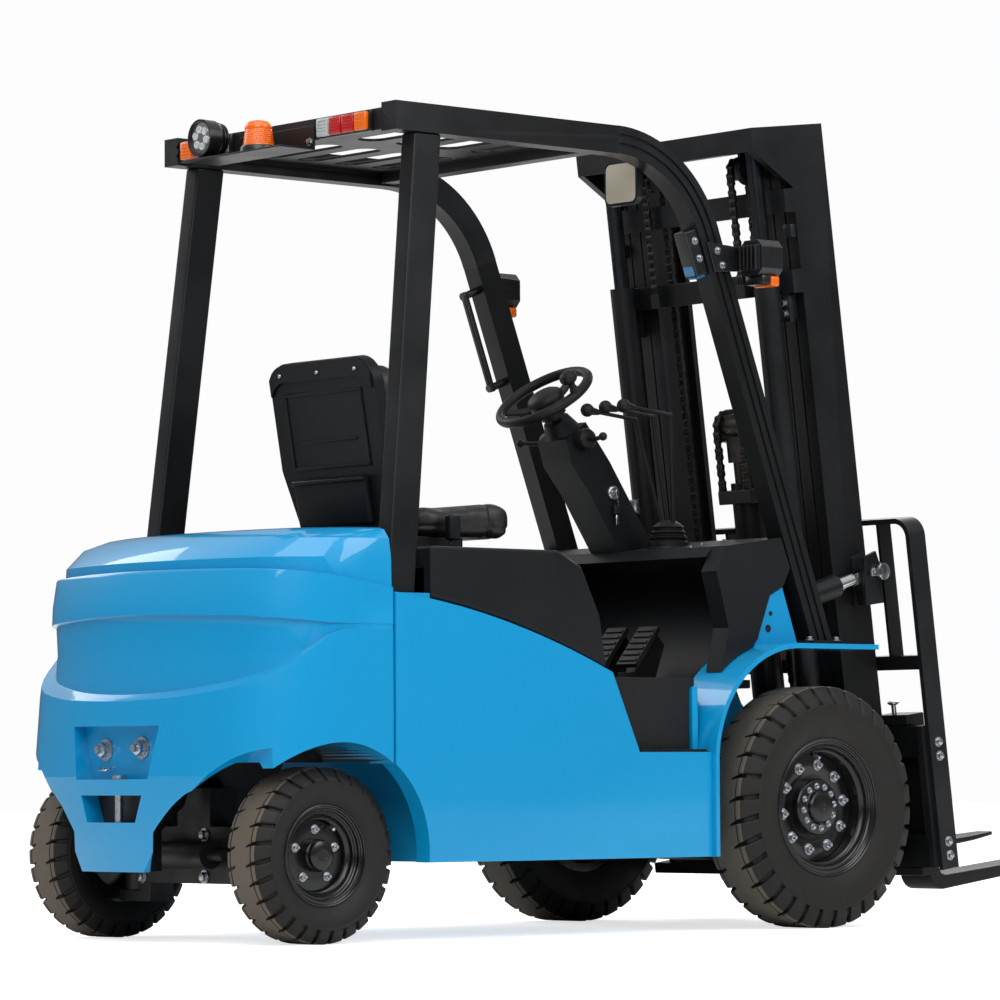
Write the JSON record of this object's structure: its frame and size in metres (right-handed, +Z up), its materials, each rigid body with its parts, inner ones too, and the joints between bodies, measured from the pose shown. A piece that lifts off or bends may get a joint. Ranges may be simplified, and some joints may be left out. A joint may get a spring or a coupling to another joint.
{
  "type": "electric counterbalance forklift",
  "caption": "Electric counterbalance forklift with a cast counterweight, overhead guard, seat, tilting free-lift mast, fork carriage, backrest and steered rear wheels.",
  "frame": {"origin": "on the floor under the middle of the bounding box", "axes": "+X forward towards the forks, +Y to the left, +Z up"},
  "size_m": [3.6974, 1.196, 2.284],
  "materials": {
    "blue_paint": "gloss",
    "black_paint": "satin",
    "black_plastic": "fine grain",
    "tyre_rubber": "moulded",
    "soft_black": "moulded",
    "seat_vinyl": "grained vinyl",
    "bright_steel": "zinc plated",
    "chain_steel": "oiled",
    "chrome_rod": "polished",
    "lamp_amber": "clear",
    "lamp_red": "clear",
    "battery_case": "satin"
  },
  "bodies": {
    "chassis": {"chassis_frame": "blue_paint", "counterweight": "blue_paint", "battery_pack": "battery_case", "battery_hood": "black_plastic", "floor_plate": "black_plastic", "front_cowl": "black_plastic", "front_fenders": "blue_paint", "pedals": "soft_black", "steering_column": "black_plastic", "control_levers": "soft_black", "seat_base": "black_plastic", "seat_cushion": "seat_vinyl", "seat_backrest": "seat_vinyl", "seat_shell": "black_plastic", "guard_rear_posts": "black_paint", "guard_rail_right": "black_paint", "guard_rail_left": "black_paint", "guard_roof": "black_paint", "tail_lamps": "lamp_red", "lamp_plate": "black_paint", "work_lamp": "black_plastic", "beacon": "lamp_amber", "head_lamps": "black_plastic", "spot_lamp": "black_plastic", "rear_mirror": "black_plastic", "grab_handle": "black_plastic", "drive_axle": "black_paint", "steer_axle": "black_paint", "steer_cylinder": "bright_steel", "tow_pin": "bright_steel"},
    "front_wheel_right": {"front_tyre_right": "tyre_rubber", "front_rim_right": "black_paint"},
    "front_wheel_left": {"front_tyre_left": "tyre_rubber", "front_rim_left": "black_paint"},
    "steer_knuckle_right": {"knuckle_right": "black_paint"},
    "steer_knuckle_left": {"knuckle_left": "black_paint"},
    "rear_wheel_right": {"rear_tyre_right": "tyre_rubber", "rear_rim_right": "black_paint"},
    "rear_wheel_left": {"rear_tyre_left": "tyre_rubber", "rear_rim_left": "black_paint"},
    "steering_wheel": {"steering_wheel": "soft_black"},
    "outer_mast": {"mast_outer": "black_paint", "lift_cylinders": "black_paint"},
    "middle_mast": {"mast_middle": "black_paint", "lift_rods": "chrome_rod", "lift_chains": "chain_steel"},
    "inner_mast": {"mast_inner": "black_paint", "free_lift_cylinder": "black_paint"},
    "crosshead": {"free_lift_crosshead": "chrome_rod", "free_lift_chains": "chain_steel"},
    "carriage": {"fork_carriage": "black_paint", "load_backrest": "black_paint", "fork_right": "black_paint", "fork_left": "black_paint"},
    "tilt_barrel_right": {"tilt_barrel_right": "black_paint"},
    "tilt_barrel_left": {"tilt_barrel_left": "black_paint"},
    "tilt_rod_right": {"tilt_rod_right": "chrome_rod"},
    "tilt_rod_left": {"tilt_rod_left": "chrome_rod"}
  },
  "joints": [
    {"name": "front_wheel_right_spin", "type": "hinge", "parent": "chassis", "child": "front_wheel_right", "pos_m": [0.19122, -0.503, 0.335], "axis": [0, 1, 0], "continuous": true},
    {"name": "steer_right", "type": "hinge", "parent": "chassis", "child": "steer_knuckle_right", "pos_m": [-1.52878, -0.292, 0.2265], "axis": [0, 0, 1], "range_deg": [-70, 70]},
    {"name": "rear_wheel_right_spin", "type": "hinge", "parent": "steer_knuckle_right", "child": "rear_wheel_right", "pos_m": [-1.52878, -0.432, 0.2265], "axis": [0, 1, 0], "continuous": true},
    {"name": "front_wheel_left_spin", "type": "hinge", "parent": "chassis", "child": "front_wheel_left", "pos_m": [0.19122, 0.503, 0.335], "axis": [0, 1, 0], "continuous": true},
    {"name": "steer_left", "type": "hinge", "parent": "chassis", "child": "steer_knuckle_left", "pos_m": [-1.52878, 0.292, 0.2265], "axis": [0, 0, 1], "range_deg": [-70, 70]},
    {"name": "rear_wheel_left_spin", "type": "hinge", "parent": "steer_knuckle_left", "child": "rear_wheel_left", "pos_m": [-1.52878, 0.432, 0.2265], "axis": [0, 1, 0], "continuous": true},
    {"name": "steering_wheel_turn", "type": "hinge", "parent": "chassis", "child": "steering_wheel", "pos_m": [-0.33638, 0, 1.48644], "axis": [-0.5736, 0, 0.8192], "continuous": true},
    {"name": "mast_tilt", "type": "hinge", "parent": "chassis", "child": "outer_mast", "pos_m": [0.19122, 0, 0.335], "axis": [0, 1, 0], "range_deg": [-2.5, 13.5]},
    {"name": "mast_raise", "type": "slide", "parent": "outer_mast", "child": "middle_mast", "axis": [-0.1305, 0, 0.9914], "range_m": [0, 1.35], "deforming": ["lift_chains"]},
    {"name": "inner_raise", "type": "slide", "parent": "middle_mast", "child": "inner_mast", "axis": [-0.1305, 0, 0.9914], "range_m": [0, 1.35]},
    {"name": "free_lift", "type": "slide", "parent": "inner_mast", "child": "carriage", "axis": [-0.1305, 0, 0.9914], "range_m": [0, 1.4], "deforming": ["free_lift_chains"]},
    {"name": "crosshead_rise", "type": "slide", "parent": "inner_mast", "child": "crosshead", "axis": [-0.1305, 0, 0.9914], "range_m": [0, 0.7]},
    {"name": "tilt_barrel_right_swing", "type": "hinge", "parent": "chassis", "child": "tilt_barrel_right", "pos_m": [0.04122, -0.4, 0.853], "axis": [0, 1, 0], "range_deg": [-2.5, 12.62]},
    {"name": "tilt_rod_right_stroke", "type": "slide", "parent": "tilt_barrel_right", "child": "tilt_rod_right", "axis": [0.961, 0, 0.2767], "range_m": [-0.02534, 0.12806]},
    {"name": "tilt_barrel_left_swing", "type": "hinge", "parent": "chassis", "child": "tilt_barrel_left", "pos_m": [0.04122, 0.4, 0.853], "axis": [0, 1, 0], "range_deg": [-2.5, 12.62]},
    {"name": "tilt_rod_left_stroke", "type": "slide", "parent": "tilt_barrel_left", "child": "tilt_rod_left", "axis": [0.961, 0, 0.2767], "range_m": [-0.02534, 0.12806]}
  ],
  "couplings": [
    {"joint": "steer_left", "follows": "steer_right", "ratio": 1},
    {"joint": "inner_raise", "follows": "mast_raise", "ratio": 1},
    {"joint": "crosshead_rise", "follows": "free_lift", "ratio": 0.5},
    {"joint": "tilt_barrel_right_swing", "follows": "mast_tilt", "ratio": 0.92},
    {"joint": "tilt_rod_right_stroke", "follows": "mast_tilt", "m_per_rad": 0.535},
    {"joint": "tilt_barrel_left_swing", "follows": "mast_tilt", "ratio": 0.92},
    {"joint": "tilt_rod_left_stroke", "follows": "mast_tilt", "m_per_rad": 0.535}
  ]
}
